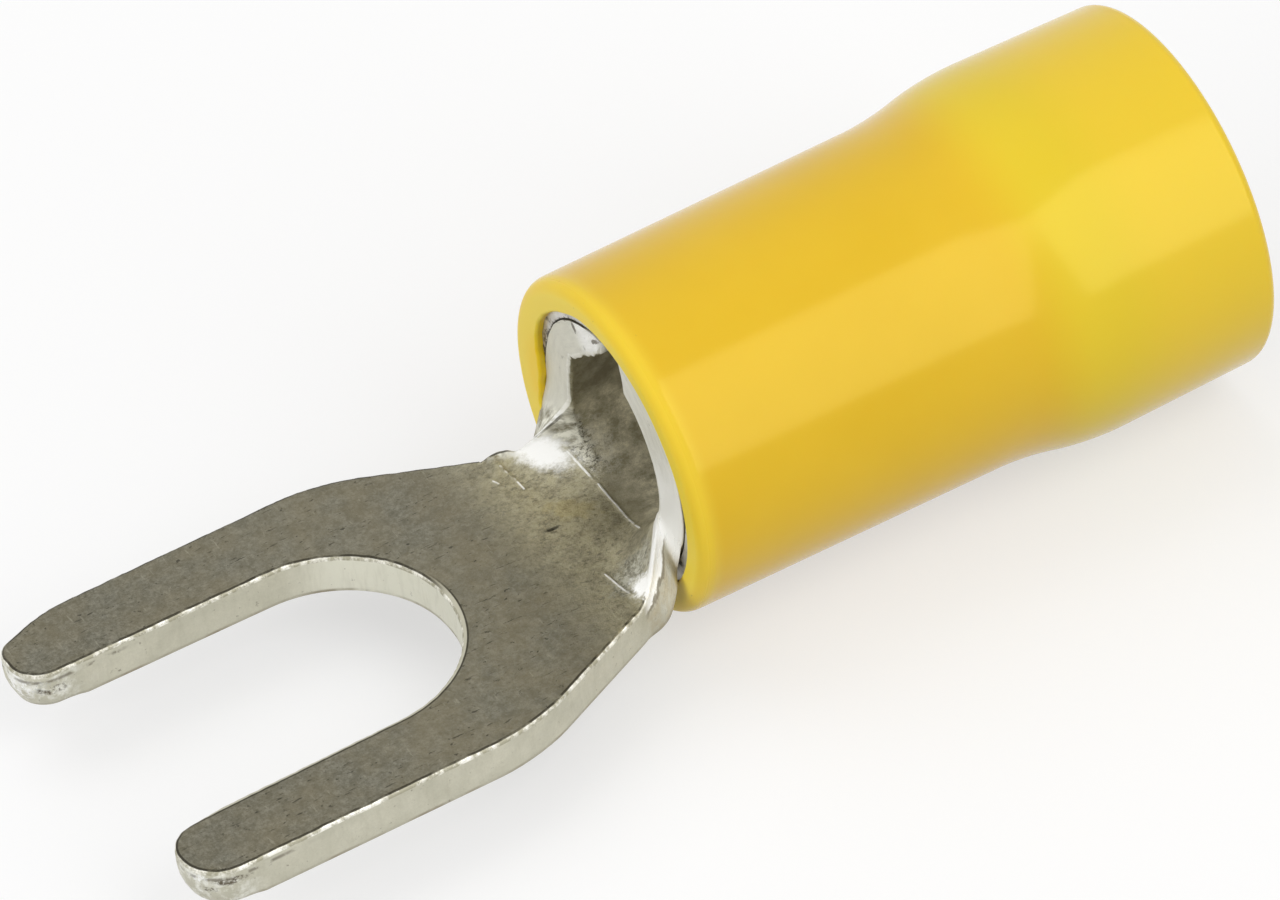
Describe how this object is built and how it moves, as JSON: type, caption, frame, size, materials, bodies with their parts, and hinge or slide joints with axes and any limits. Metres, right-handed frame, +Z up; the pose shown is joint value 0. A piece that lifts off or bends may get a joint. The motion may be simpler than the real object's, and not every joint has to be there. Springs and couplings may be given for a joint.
{
  "type": "insulated fork terminal",
  "caption": "Crimp fork terminal: open spade tongue for a screw or stud, rolled barrel for a wire, and a soft insulating sleeve with a wider wire entry.",
  "frame": {"origin": "middle of the overall length and width, at the height of the lowest point of the insulating sleeve's bell", "axes": "+X runs along the barrel from the fork's tips to the wire entry, +Y across the fork, +Z up from the tongue's underside to its top"},
  "size_m": [0.026, 0.009, 0.0082],
  "materials": {
    "tinned_fork": "matt tin plate over copper, scuffed",
    "tinned_sleeve": "satin tin plate over copper",
    "yellow_vinyl": "semi-gloss soft vinyl"
  },
  "bodies": {
    "root": {"fork": "tinned_fork", "grip_sleeve": "tinned_sleeve", "insulating_sleeve": "yellow_vinyl"}
  },
  "joints": []
}
